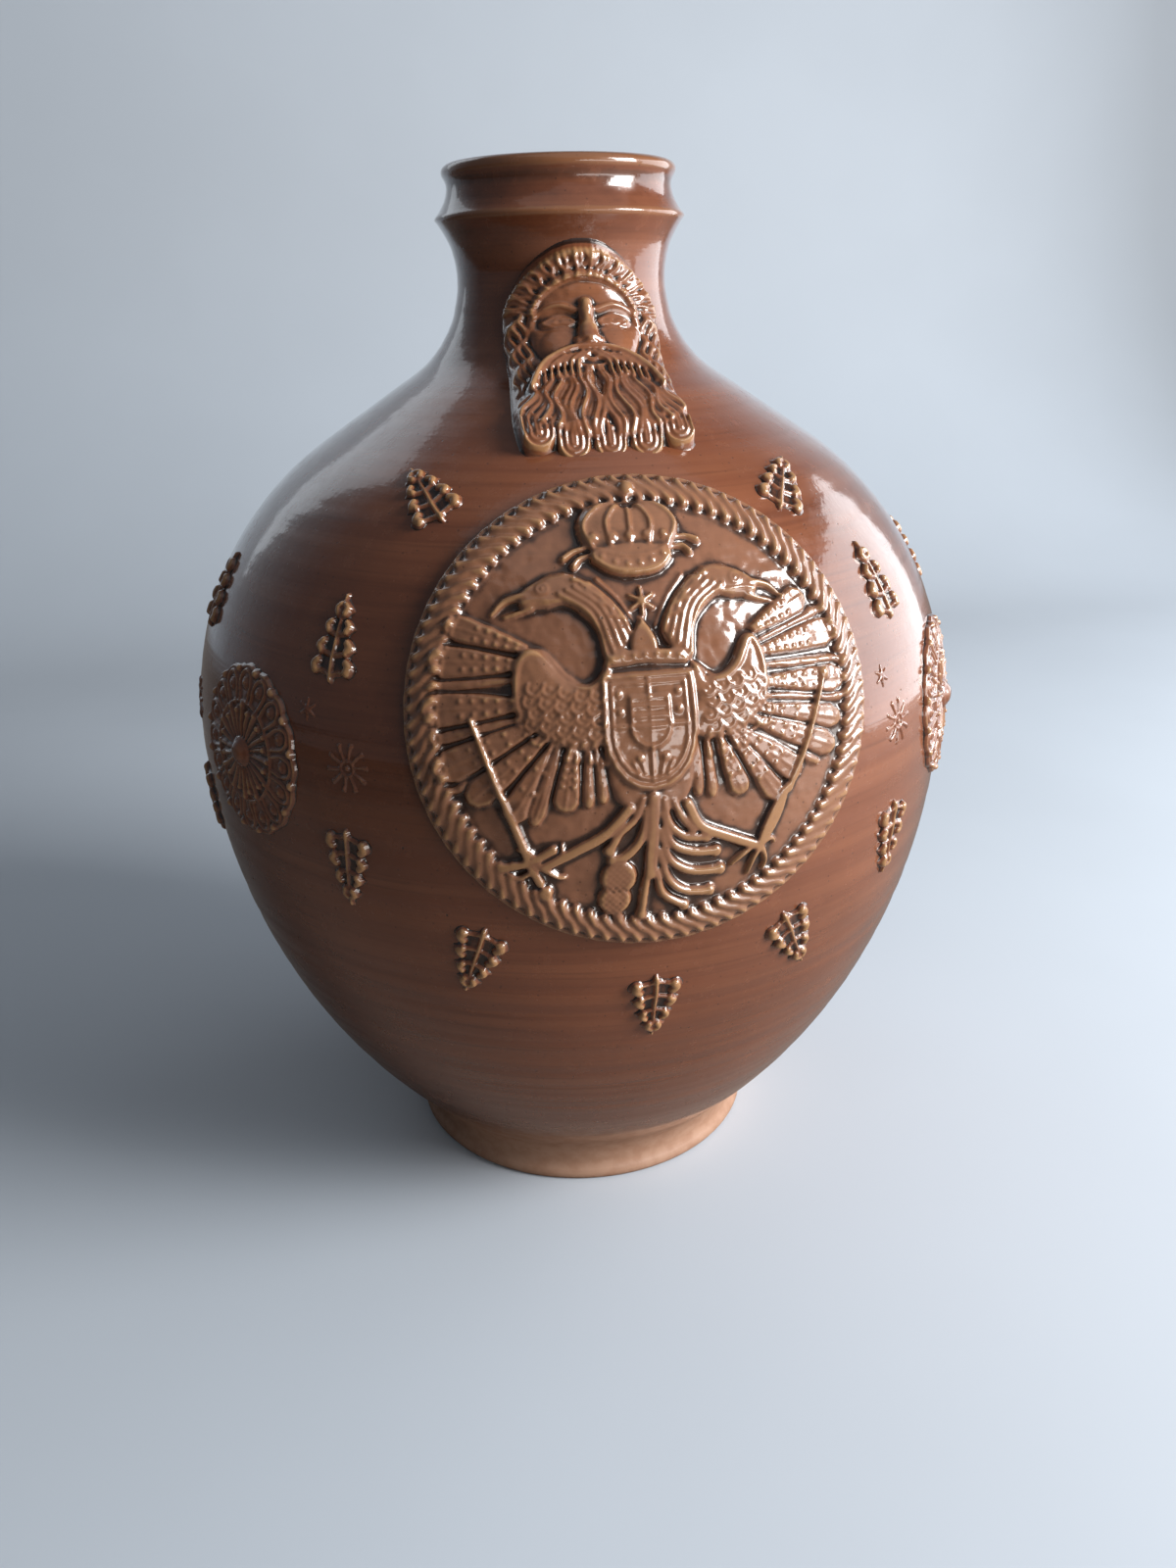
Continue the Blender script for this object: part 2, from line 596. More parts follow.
for u, v, radius in round_tips:
    medal.pad(ring(radius, u, v, 24), 1.7, 1.5, curved=False)
medal.stroke([(-13, -59), (-12, -61)], 3.4, 1.3)
for k in range(-3, 4):
    aside = 1.4 * k
    for lean in (1, -1):
        for u, v, radius in round_tips:
            half = math.sqrt(max((radius - 0.6) ** 2 - aside**2, 0))
            across = np.array([lean * 0.7, -0.7]) * aside
            run = np.array([0.7, lean * 0.7]) * half
            medal.groove([across - run + (u, v), across + run + (u, v)], 0.7, 0.35, curved=False)
tell("tail", medal)


# %% The shield: a double rim, a smaller shield on it, and a low crown
def shield_foot(v, wide, deep, start, count):
    """The curved foot of a shield, from its right side to its left."""
    return [(-2 + wide * math.cos(a), v - deep * math.sin(a))
            for a in np.linspace(start, math.pi - start, count)]


SHIELD_GROUND = 2.75
shield = [(-14.4, 10.6), (10.4, 10.6), (10.8, -6), *shield_foot(-6, 12.8, 15.4, 0.25, 9), (-14.8, -6)]
medal.base[:] = SHIELD_GROUND
medal.pad(shield, 0.95, 1.2, curved=False)
medal.settle()
medal.stroke(shield + shield[:1], 1.7, 1.15, curved=False)
inner = [(0.84 * (u + 2) - 2, 0.84 * (v + 4) - 4) for u, v in shield]
medal.stroke(inner + inner[:1], 1.0, 0.75, curved=False)
small = [(-7.4, 4.4), (3.4, 4.4), (3.6, -4), *shield_foot(-4, 5.6, 5.6, 0.3, 7), (-7.6, -4)]
medal.pad(small, 0.5, 0.8, curved=False)
for line in ([(-2, 9), (-2, -19)], [(-13, -3.4), (-8, -3.4)], [(4, -3.4), (9, -3.4)]):
    medal.stroke(line, 1.1, 0.75, curved=False)
medal.settle()
medal.stroke(small + small[:1], 1.1, 0.8, curved=False)
for v in (1.8, -1.0, -3.8):
    medal.stroke([(-6.4, v), (2.4, v)], 1.0, 0.6, curved=False)
for u, v in ((-10.6, 5.6), (6.4, 5.6), (-10.4, 0.6), (6.4, 0.6), (-5.6, -12.6), (1.8, -12.6)):
    medal.dot(u, v, 1.2, 0.9)
for u in (-7.6, -5.2, 1.4, 3.8):
    medal.stroke([(u, -13.6), (u * 0.7 - 0.6, -17)], 1.0, 0.65, curved=False)
medal.base[:] = SHIELD_GROUND
crown_band = [(-13.4, 17), (-2, 18.2), (9.4, 17), (9.8, 13), (-2, 14), (-13.8, 13)]
medal.pad(crown_band, 1.5, 1.0, curved=False)
medal.pad([(-5.6, 17.4), (-5.2, 22), (-2, 26), (1.2, 22), (1.6, 17.4)], 1.5, 1.2)
medal.settle()
for k in range(7):
    medal.dot(-11.6 + 3.2 * k, 15.4 + 0.6 - 0.06 * (k - 3) ** 2, 0.8, 0.5)
medal.dot(-2, 26.2, 1.3, 0.9)
tell("shield", medal)

# %% The crown above, with its band, arches, bead rows and ribbons, and the orb on the rope
medal.base[:] = GROUND
crown_cap = [(-13.6, 46), (-16.6, 54), (-13, 60), (-6, 60.6), (-1, 59), (4, 60.6), (11, 59),
             (13.6, 53), (9.4, 46), (-2, 47)]
medal.pad(crown_cap, 1.6, 2.6, crown=0.12)
medal.pad([(-13.6, 43.4), (-8, 39.6), (-2, 38.6), (5, 39.6), (9.6, 43.4), (8.6, 47), (-2, 48.2),
           (-12.6, 47)], 2.2, 1.6)
medal.settle()
medal.stroke([(-13.4, 43.6), (-8, 40), (-2, 39), (5, 40), (9.4, 43.6)], 1.3, 0.6)
medal.stroke([(-12.8, 46.8), (-7, 44.6), (-2, 44), (4, 44.6), (8.8, 46.8)], 1.1, 0.5)
for k in range(6):
    u = -10.6 + 3.5 * k
    medal.dot(u, 41.6 + 0.07 * (u + 2) ** 2 * 0.5, 1.0, 0.6)
arches = [
    [(-13, 47), (-14.6, 54), (-8, 60), (-1, 60.6)], [(-7.6, 47.6), (-8, 54), (-4.6, 59), (-1, 60.6)],
    [(3.4, 47.6), (4.6, 54), (2, 59), (-1, 60.6)], [(9, 47), (12, 54), (6.6, 60), (-1, 60.6)],
    [(-2, 48), (-1.4, 54), (-1, 60)],
]
for arch in arches:
    medal.stroke(arch, 1.5, 0.9)
for u in (-12.4, -6.8, -2, 3, 8):
    medal.dot(u, 49.8, 1.5, 1.0)
medal.base[:] = GROUND
for ribbon in ([(-13, 47.6), (-18, 47), (-21.6, 45)], [(-13.6, 45.4), (-17, 44.6), (-19, 42.4)],
               [(9.4, 48), (14, 49.8), (18.4, 48.6)], [(9, 46), (13, 47), (15.6, 45.2)]):
    medal.stroke(ribbon, 2.0, 1.5, ends=(0.7, 1.0))
medal.dot(0, 64.6, 2.9, 3.2)
for k in range(6):
    ray = [(-1, 31.4), off(-1, 31.4, 4.1, 60 * k + 90)]
    medal.stroke(ray, 1.7, 1.1, ends=(1.0, 0.5), curved=False)

# The low lines are lifted most, so that they stay clear under the glaze
rise = np.clip(medal.h - GROUND, 0, None)
medal.h += 0.45 * rise * np.exp(-((rise / 1.8) ** 2))
medal.finish(rng, 0.36, 0.05)
tell("front medallion", medal)

# %% [markdown]
# The mask on the neck is the bearded man that gives these jugs their name. Its face is a
# plain calm one: the eyes lie halfway down the head, the nose ends halfway from them to the
# chin, and the mouth lies a third of the way below it. The moustache is one thick arch with
# whiskers under it, and the beard is cut in wavy locks that roll up at its lower edge. A
# sculptor would build it in the same order as here: head, features, then hair.

# %% The mask's head and features
mask = Clay(-30.5, 30.5, -50.5, 36.5, 0.3)


def both(points):
    """A line on the right, and its mirror image on the left."""
    return [points, [(-u, v) for u, v in points]]


def pair(clay, points, width, height, ends=(1.0, 1.0)):
    """The same ridge on the right and on the left."""
    for line in both(points):
        clay.stroke(line, width, height, ends=ends)


head = [(0, 34), (10, 32.6), (18.6, 28), (24, 20), (26, 10), (26, -6), (27.6, -20), (28.4, -32),
        (27, -42), (23, -46.4), (18, -43.4), (11.5, -47), (5.8, -43.4)]
mask.pad(head + [(0, -47)] + [(-u, v) for u, v in head[:0:-1]], 3.4, 3.4)
mask.settle()

# A smooth oval face, round cheeks, a forehead, and sockets for the eyes
around = np.linspace(0, 2 * math.pi, 24, endpoint=False)
mask.pad([(17.6 * math.sin(a), 6.5 + 20.5 * math.cos(a)) for a in around], 3.0, 9.0)
for socket in both([(3.6, 8.6), (8, 9.6), (12.4, 8.2)]):
    mask.groove(socket, 8.0, 1.1)
mask.settle()
cheek, brow = [(9.0, -0.5), (9.4, -1.4)], [(3.0, 12.6), (7.6, 14.6), (12.6, 13.4), (15, 11)]
eye, nostril_wing = [(4.2, 8.0), (8.2, 8.6), (12.2, 8.0)], [(2.8, -0.4), (3.0, -1.2)]
pair(mask, cheek, 11.0, 0.6)
pair(mask, brow, 2.6, 0.8, (1.0, 0.6))
pair(mask, eye, 4.6, 1.2, (0.8, 0.8))
mask.stroke([(0, 15.4), (0, 9), (0, 3), (0, -0.6)], 7.4, 3.6, ends=(0.5, 1.0))
pair(mask, nostril_wing, 3.8, 2.2)
mask.settle()
pair(mask, [(3.4, 8.0), (5.8, 10.2), (9.4, 10.6), (13, 8.4)], 1.1, 0.7, (0.7, 0.7))
pair(mask, [(3.6, 7.8), (6.2, 6.2), (9.6, 6.1), (12.8, 8.0)], 1.0, 0.55, (0.7, 0.7))
for pupil in (-8.2, 8.2):
    mask.groove([(pupil, 8.4), (pupil + 0.01, 8.4)], 1.9, 0.5, curved=False)
for nostril in both([(1.4, -1.9), (2.2, -1.7)]):
    mask.groove(nostril, 1.3, 0.7)
tell("head", mask)


# %% The hair: a rounded band over the forehead, combed into short strands, and side locks
def band(angle, out):
    """A point of the hair band at an angle from straight up, and so far outside the face."""
    return (14.6 + out) * math.sin(angle), 8.5 + (15.2 + 0.86 * out) * math.cos(angle)


mask.stroke([band(math.radians(a), 5.6) for a in range(-84, 85, 12)], 11.0, 1.5)
mask.settle()
STRANDS = 39
for k in range(STRANDS):
    a = math.radians(-76 + 4 * k)
    wave = 0.022 * math.sin(1.9 * k)
    strand = [band(a, 1.2), band(a + wave + 0.03, 4.2), band(a - wave + 0.05, 7.4),
              band(a + 0.04, 10.0)]
    mask.stroke(strand, 1.75, 1.15 + 0.35 * math.sin(2.3 * k), ends=(0.7, 1.0))
for lane in range(4):
    u = 18.6 + 2.1 * lane
    lock = [(u + 0.8 * math.sin(0.75 * v + 1.7 * lane), v)
            for v in np.arange(13.0 - 2 * lane, -21.0, -2.6)]
    pair(mask, lock, 1.9, 1.3 - 0.12 * lane, (1.0, 0.7))
tell("hair", mask)

# %% A small closed mouth, and the beard: a mound, locks in waves, and rolled lobes along its end
upper_lip, lower_lip = [(-4.6, -9.4), (-1.6, -8.4), (0, -8.9), (1.6, -8.4), (4.6, -9.4)], [
    (-3.8, -11), (0, -11.7), (3.8, -11)]
mask.stroke(upper_lip, 1.7, 1.5, ends=(0.6, 0.6))
mask.stroke(lower_lip, 2.0, 1.5, ends=(0.6, 0.6))

BEARD_GROUND = 3.4
LOCKS = 15
mask.base[:] = BEARD_GROUND
beard = [(0, -12), (18, -15), (25, -22), (27, -31), (24, -39), (0, -42)]
mask.pad(beard + [(-u, v) for u, v in beard[-2:0:-1]], 1.4, 7.0)
mask.settle()
for k in range(LOCKS):
    share = (k + 0.25) / LOCKS
    top = (0.9 + 18.0 * share, -12.6 - 4.4 * share**2)
    end = (1.4 + 26.0 * share, -38.8 + 13.5 * share**2.4)
    line = []
    for t in np.linspace(0, 1, 11):
        swing = 1.25 * math.sin(2 * math.pi * (1.3 * t + 0.08 * k)) * min(1, 4 * t)
        line.append((top[0] + (end[0] - top[0]) * t**0.85 + swing, top[1] + (end[1] - top[1]) * t))
    pair(mask, line, 2.3, 1.5 + 0.55 * math.sin(2.6 * k), (0.75, 1.0))
for middle, low in ((-21.6, -37.4), (21.6, -37.4), (-11.2, -41.2), (11.2, -41.2), (0, -41.6)):
    mask.base[:] = BEARD_GROUND
    mask.pad(ring(5.3, middle, low, 20)[:-1], 1.9, 3.4)
    mask.base += 1.5
    for r in (4.3, 2.4, 0.6):
        bowl = [(middle + r * math.cos(a), low + r * math.sin(a)) for a in np.linspace(-math.pi, 0, 7)]
        mask.stroke([(middle - r, low + 7.5), *bowl, (middle + r, low + 5.5)], 1.8, 1.5, ends=(0.6, 0.6))
tell("beard", mask)

# %% The moustache: an arch on both sides of the nose, with whiskers that sweep outward under it
MOUSTACHE_GROUND = 6.2
mask.base[:] = MOUSTACHE_GROUND
for k in range(8):
    start = (0.8 + 1.9 * k, -6.0 - 0.10 * k * k)
    end = (5.2 + 2.2 * k, -15.2 - 0.10 * k * k)
    middle = (0.5 * (start[0] + end[0]) + 1.6, 0.5 * (start[1] + end[1]) + 0.4)
    pair(mask, [start, middle, end], 2.1, 1.1 + 0.3 * math.sin(2 * k), (1.0, 0.5))
arch = [(0.6, -3.9), (5.0, -4.0), (10.6, -6.6), (16, -11.6), (20.4, -19.6)]
pair(mask, arch, 3.2, 2.0, (1.0, 0.7))
mask.finish(rng, 0.36, 0.05)
tell("face mask", mask)

# %% [markdown]
# The small sprigs repeat: two round flower medallions on the flanks, lobed leaves, rosettes
# and stars. Each kind is cut once as a pad of clay, and each piece gets its own slight
# unevenness before it is pressed on, because no two real ones came out of the mould alike.

# %% Side medallions, leaves, rosettes and stars
def side_flower():
    """A scalloped disc: studded outer loops, a flower of narrow petals and a round boss."""
    clay = Clay(-30, 30, -30, 30, 0.3)
    edge = [polar(29.0 - 0.9 * (k % 2), 360 * k / 32) for k in range(32)]
    clay.pad(edge, 1.3, 1.2)
    clay.settle()
    clay.stroke([polar(28.0 - 0.8 * (k % 2), 360 * k / 32) for k in range(33)], 1.3, 0.5)
    for k in range(16):
        a = 22.5 * k
        loop = [polar(17.2, a - 7.5), polar(22.4, a - 8.4), polar(25.6, a - 5.2), polar(26.6, a),
                polar(25.6, a + 5.2), polar(22.4, a + 8.4), polar(17.2, a + 7.5)]
        clay.stroke(loop, 1.5, 1.1, ends=(0.7, 0.7))
        clay.stroke(ring(1.5, *polar(22.6, a), 10), 0.9, 0.8)
        clay.dot(*polar(22.6, a), 1.1, 1.2)
        clay.dot(*polar(27.0, a + 11.25), 1.6, 1.5)
    clay.stroke(ring(16.6), 1.2, 0.9)
    for k in range(24):
        a = 15 * k
        long = 15.4 if k % 2 == 0 else 13.6
        clay.stroke([polar(5.6, a), polar(10, a + 1), polar(long, a)], 1.5 + 0.5 * (k % 2 == 0), 1.2,
                    ends=(0.5, 1.0))
        clay.dot(*polar(long, a), 1.1, 1.5)
    clay.pad(ring(5.2)[:-1], 1.6, 1.4)
    clay.dot(0, 0, 4.2, 3.4)
    return clay


def leaf():
    """A lobed leaf, widest near its stem, with rolled lobes that end in beads."""
    clay = Clay(-11.5, 11.5, -15, 15, 0.22)
    half = [(0, 13.4), (1.8, 11), (4.4, 8.2), (3.2, 5.8), (6.6, 2.6), (4.4, 0.4), (8.4, -4.0),
            (5.6, -5.4), (9.2, -8.8), (7.4, -12.4), (2.6, -11.4), (0.9, -14)]
    clay.pad(half + [(-u, v) for u, v in half[:0:-1]], 0.75, 1.0)
    clay.settle()
    for v, reach in ((-9.4, 8.2), (-3.4, 7.3), (2.8, 5.6), (8.2, 3.4)):
        vein = [(0.3, v - 2.6), (0.5 * reach, v - 1.7), (reach - 1.2, v - 0.4)]
        lobe = [(reach - 2.1, v - 1.2), (reach - 1.6, v + 0.4), (reach - 2.6, v + 1.5)]
        pair(clay, vein, 2.1, 0.95, (0.8, 1.0))
        pair(clay, lobe, 4.0 if v < 0 else 3.1, 1.8, (0.9, 0.8))
    clay.stroke([(0.2, -14), (-0.1, -8), (0.1, 0), (0, 13)], 1.9, 1.25, ends=(1.0, 0.6))
    clay.dot(0, 12.8, 1.0, 1.0)
    return clay


def rosette():
    """Ten thin forked petals round a small ring."""
    clay = Clay(-9, 9, -9, 9, 0.22)
    clay.pad(ring(7.2)[:-1], 0.15, 1.0)
    clay.settle()
    for k in range(10):
        a = 36 * k
        clay.stroke([polar(2.4, a), polar(5.6, a + 2), polar(7.4, a)], 1.3, 0.85, ends=(0.7, 1.0))
        for fork in (6, -6):
            clay.stroke([polar(6.0, a), polar(7.9, a + fork)], 0.9, 0.7, ends=(1.0, 0.6))
    clay.stroke(ring(2.4, sides=16), 1.1, 0.7)
    clay.dot(0, 0, 1.1, 0.9)
    return clay


def star():
    """Six short rays."""
    clay = Clay(-4.2, 4.2, -4.2, 4.2, 0.2)
    for k in range(6):
        clay.stroke([(0, 0), polar(3.5, 60 * k + 90)], 1.9, 0.95, ends=(1.0, 0.5), curved=False)
    return clay


def fresh(clay, grain):
    """A copy of a pad with its own unevenness."""
    copy_of = Clay.__new__(Clay)
    copy_of.__dict__.update({key: value.copy() if hasattr(value, "copy") else value
                             for key, value in clay.__dict__.items()})
    copy_of.finish(rng, 0.24, grain)
    return copy_of


flower_clay, leaf_clay, rosette_clay, star_clay = side_flower(), leaf(), rosette(), star()
tell("side medallion", flower_clay)
tell("leaf", leaf_clay)

# %% [markdown]
# Each pad of clay now becomes a mesh on the wall, at the place measured on the real jug. The
# tall leaves point their tips up on the shoulder and down under the belly.

# %% Press the ornaments onto the wall: node, azimuth, height and turn of each
def settle_piece(piece, node):
    """The piece moves with the jug, stands for its CAD node and takes its slot's finish."""
    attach(piece, "root")
    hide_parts(node)
    return piece


def sprig(name, node, clay, place, swell=0.9):
    """A pad of clay pressed onto the wall in place of its CAD node."""
    return settle_piece(press(clay, name, place, swell), node)


SIDE_MEDALLIONS = [("side_medallion_left", -58.6, 199.0), ("side_medallion_right", 58.6, 199.0)]
LEAVES = [
    ("leaf_upper_left", -35.6, 280.0, 45.0), ("leaf_upper_right", 33.1, 279.0, -45.0),
    ("leaf_shoulder_left", -42.2, 241.0, 0.0), ("leaf_shoulder_right", 41.4, 248.0, 4.0),
    ("leaf_lower_left", -39.8, 169.0, 175.0), ("leaf_lower_right", 38.6, 161.0, 180.0),
    ("leaf_belly_left", -23.5, 141.0, 160.0), ("leaf_belly_right", 20.9, 137.0, -152.0),
    ("leaf_belly_front", 0.4, 120.5, 180.0), ("leaf_far_shoulder_left", -79.0, 243.0, 0.0),
    ("leaf_far_shoulder_right", 79.0, 243.0, 0.0), ("leaf_far_lower_left", -81.0, 163.0, 180.0),
    ("leaf_far_lower_right", 81.0, 163.0, 180.0),
]
ROSETTES = [("rosette_left", -38.7, 203.5, 7.0), ("rosette_right", 38.7, 203.5, 7.0),
            ("rosette_far_left", -82.0, 202.0, 7.0), ("rosette_far_right", 82.0, 202.0, 7.0)]
STARS = [("star_left", -45.6, 219.0), ("star_right", 35.9, 220.0)]

MEDALLION_HEIGHT = 223.0
MASK_HEIGHT = 318.0
MASK_TILT = 24.0

medallion_place = place_on_wall(0, MEDALLION_HEIGHT)
mask_place = place_on_wall(0, MASK_HEIGHT, 0, MASK_TILT)
sprigs = [sprig("medallion_relief", "front_medallion", medal, medallion_place, 1.5),
          sprig("mask_relief", "face_mask", mask, mask_place, 1.2)]
small_sprigs = ((SIDE_MEDALLIONS, flower_clay, 0.05, 0.9), (LEAVES, leaf_clay, 0.06, 1.5),
                (ROSETTES, rosette_clay, 0.05, 0.6), (STARS, star_clay, 0.05, 0.6))
for places, clay, grain, swell in small_sprigs:
    for node, *where in places:
        place = place_on_wall(*where)
        sprigs.append(sprig(node + "_relief", node, fresh(clay, grain), place, swell))

# %% [markdown]
# The body is one turned mesh: outside, lip, throat, cavity, floor and underside in a single
# closed skin. The real one was thrown in one go, so its wall keeps the faint rings of the
# potter's fingers. They are cut inward by a tenth of a millimetre or so, and the mould-made
# ornaments still meet the wall all round.

# %% The outline of the thrown body
AROUND = 288


def way_along(points):
    """How far along a line each of its points lies."""
    return np.concatenate([[0], np.cumsum(np.linalg.norm(np.diff(points, axis=0), axis=1))])


def spaced(points, step):
    """A line with its points at equal steps."""
    points = np.asarray(points, float)
    gone = way_along(points)
    keep = np.linspace(0, gone[-1], max(2, round(gone[-1] / step) + 1))
    return np.stack([np.interp(keep, gone, points[:, k]) for k in (0, 1)], 1)


foot_line = smooth_line([(2, 0.9), (30, 0.8), (58, 0.6), (66, 0.25), (69.4, 0.02), (71.2, 0.25),
                         (72.0, 1.1), (72.25, 2.3), (72.0, 3.6), (71.3, 5.0), (70.7, 6.1)])
ridge_top = (outside[-1, 0], outside[-1, 1])
rim_line = smooth_line([ridge_top, (43.6, 361.3), (42.2, 363.0), (40.4, 366.0), (39.4, 369.0),
                        (39.2, 371.2), (39.8, 373.0), (40.6, 374.4), (40.75, 375.6), (40.2, 376.8),
                        (38.9, 377.7), (37.2, JUG_HEIGHT), (35.4, 377.7), (33.8, 376.8), (32.6, 375.0),
                        (31.6, 372.4), (31.2, 369.0)])
cavity_line = np.concatenate([inside[::-1], [(40.0, 8.6), (20.0, 8.3), (2.0, 8.2)]])
skin = np.concatenate([
    spaced(foot_line, 1.6), spaced(outside, 1.35)[1:-1], spaced(rim_line, 0.75),
    spaced(np.concatenate([rim_line[-1:], cavity_line]), 4.0)[1:],
])
print("outline", len(skin), "points, widest", round(float(skin[:, 0].max()), 2), "mm")

# %% Throwing rings, and the body turned from its outline
NOISE_COUNT = 4000
height_noise = blur(rng.standard_normal((1, NOISE_COUNT)), 9.0)[0]
height_noise /= height_noise.std()
NOISE_TOP = 380


def throwing_depth(points):
    """How deep the potter's rings are cut, for points of the outline."""
    z = points[:, 1]
    rings = 0.5 + 0.5 * np.sin(2 * math.pi * z / 11.5 + 2.2 * np.sin(z / 34.0))
    rough = np.interp(z, np.linspace(0, NOISE_TOP, NOISE_COUNT), height_noise)
    depth = 0.07 * rings + 0.05 * np.clip(1 + rough, 0, 3)
    open_wall = np.clip((z - 9) / 8, 0, 1) * np.clip((356 - z) / 6, 0, 1)
    return np.where(points[:, 0] > wall_radius(z) - 1.5, depth * open_wall, 0)


def edge_of(line):
    """How far each point of an outline stands out from its neighbours a few millimetres away."""
    gone = way_along(line)
    before, after = (np.stack([np.interp(gone + side, gone, line[:, k]) for k in (0, 1)], 1)
                     for side in (-2.2, 2.2))
    run = after - before
    away = line - (before + after) / 2
    length = np.linalg.norm(run, axis=1).clip(1e-6)
    return (away[:, 0] * run[:, 1] - away[:, 1] * run[:, 0]) / length


def turned(name, line, around):
    """A closed body turned from a line that starts and ends near the axis."""
    angles = np.linspace(0, 2 * math.pi, around, endpoint=False)
    r, z = line[:, :1], line[:, 1:]
    points = np.stack([r * np.sin(angles), -r * np.cos(angles), z + 0 * angles], -1)
    rows, columns = points.shape[:2]
    number = np.arange(rows * columns).reshape(rows, columns)
    after = np.roll(number, -1, axis=1)
    faces = np.stack([number[:-1], after[:-1], after[1:], number[1:]], -1).reshape(-1, 4).tolist()
    faces.append(number[0, ::-1].tolist())
    faces.append(number[-1].tolist())
    return new_mesh(name, points.reshape(-1, 3), faces, {"ridge": np.repeat(edge_of(line), around)})


shaped = skin.copy()
shaped[:, 0] -= throwing_depth(skin)
vessel = settle_piece(turned("thrown_body", shaped, AROUND), "vessel")
print("body rows", len(skin), "faces", len(vessel.data.polygons))

# %% [markdown]
# The handle is out of sight in the picture. Handles of such jugs were pulled as a flat strap,
# bent over at the neck and pressed down on the shoulder with the thumb. It is swept here as
# an oval strap with two shallow finger grooves, along the same path as the CAD handle, and
# its lower end runs out into a pressed tail.

# %% The path and the section of the handle
HANDLE_WIDTH = 27.0
HANDLE_THICK = 15.0
HANDLE_TRIM = 0.15
HANDLE_TOP = 348.0
HANDLE_START = 27.0
HANDLE_INSET = 6.7
HANDLE_BEND = 38.0
HANDLE_LEAN = math.radians(7)
STRAP_SINK = 3.0

landing = BELLY[1] + 0.7 * SHOULDER_RADIUS
reach = float(wall_radius(landing)) - HANDLE_INSET
bend_start = reach - HANDLE_BEND
path = [(HANDLE_START, HANDLE_TOP), (bend_start, HANDLE_TOP)]
for a in np.linspace(0, math.pi / 2 + HANDLE_LEAN, 26)[1:]:
    path.append((bend_start + HANDLE_BEND * math.sin(a), HANDLE_TOP - HANDLE_BEND * (1 - math.cos(a))))
drop = HANDLE_TOP - HANDLE_BEND - landing
path.append((path[-1][0] - drop * math.sin(HANDLE_LEAN), path[-1][1] - drop * math.cos(HANDLE_LEAN)))
path = spaced(path, 1.3)


def strap_section(share, count=56):
    """The strap's outline at a share of its length: flat oval with two grooves on its outer face."""
    root = max(0, 1 - share / 0.12)
    foot = max(0, (share - 0.8) / 0.2)
    wide = HANDLE_WIDTH / 2 - HANDLE_TRIM + 2.2 * root**2 + 1.6 * foot**2
    thick = HANDLE_THICK / 2 - HANDLE_TRIM
    points = []
    for k in range(count):
        a = 2 * math.pi * k / count
        u = wide * math.copysign(abs(math.cos(a)) ** 0.74, math.cos(a))
        v = thick * math.copysign(abs(math.sin(a)) ** 0.86, math.sin(a))
        if v > 0:
            v -= 1.0 * math.exp(-(((abs(u) - 5.2) / 2.0) ** 2)) + 0.25 * math.exp(-((u / 1.6) ** 2))
        points.append((u, v))
    return np.array(points)


print("handle path", len(path), "points")

# %% The pulled handle, each of its lines ending a little way inside the wall
way = np.gradient(path, axis=0)
way /= np.linalg.norm(way, axis=1, keepdims=True)
strap_points = []
for k, ((y, z), (dy, dz)) in enumerate(zip(path, way)):
    section = strap_section(k / (len(path) - 1))
    strap_points.append(np.stack([section[:, 0], y - section[:, 1] * dz, z + section[:, 1] * dy], -1))
strap_points = np.array(strap_points)
strap_radius = np.hypot(strap_points[..., 0], strap_points[..., 1])
wall_depth = wall_radius(strap_points[..., 2]) - strap_radius
count = len(path)
for k in range(strap_points.shape[1]):
    depth = wall_depth[:, k]
    first = count // 2 - np.argmax(depth[:count // 2][::-1] > STRAP_SINK)
    last = count // 2 + np.argmax(depth[count // 2:] > STRAP_SINK)
    rows_kept = np.linspace(first, last, count)
    strap_points[:, k] = np.stack(
        [np.interp(rows_kept, np.arange(count), strap_points[:, k, c]) for c in range(3)], -1)
rows, columns = strap_points.shape[:2]
number = np.arange(rows * columns).reshape(rows, columns)
after = np.roll(number, -1, axis=1)
strap_faces = np.stack([number[:-1], number[1:], after[1:], after[:-1]], -1).reshape(-1, 4).tolist()
strap_faces += [number[0].tolist(), number[-1, ::-1].tolist()]
strap = new_mesh("pulled_handle", strap_points.reshape(-1, 3), strap_faces)
print("strap", len(strap_faces), "faces")

# %% The clay pressed round both ends of the handle
tail = Clay(-17.5, 17.5, -25, 25, 0.4)
tail_edge = [(3.6, -22.6), (8, -12), (14, 3), (16.4, 11), (14, 18.6), (10, 22.6)]
tail.pad(tail_edge + [(-u, v) for u, v in tail_edge[::-1]], 2.0, 4.0, crown=0.12)
mound = np.exp(-((tail.u / 13.0) ** 4) - ((tail.v - 12.0) / 9.5) ** 2)
tail.h = np.where(tail.h > 0, tail.h + 6.5 * mound, tail.h)
for u, v, lean in ((-5.5, -4.0, -1.6), (0.2, -6.5, 0.0), (5.8, -4.0, 1.6)):
    tail.groove([(u + lean, v + 9), (u, v), (u * 0.55, v - 11)], 6.2, 1.0, ends=(1.0, 0.7))
tail.finish(rng, 0.8, 0.06)
root = Clay(-16.8, 16.8, -15, 7.6, 0.4)
root_edge = [(-12, 6.6), (12, 6.6), (15.6, 2), (15, -6), (9, -12.6), (-9, -12.6), (-15, -6), (-15.6, 2)]
root.pad(root_edge, 1.6, 3.0)
mound = np.exp(-((root.u / 13.0) ** 4) - ((root.v + 1.0) / 8.0) ** 4)
root.h = np.where(root.h > 0, root.h + 3.4 * mound, root.h)
root.finish(rng, 0.8, 0.06)
joints = [press(tail, "handle_tail", place_on_wall(180, landing - 11.5)),
          press(root, "handle_root", place_on_wall(180, HANDLE_TOP))]
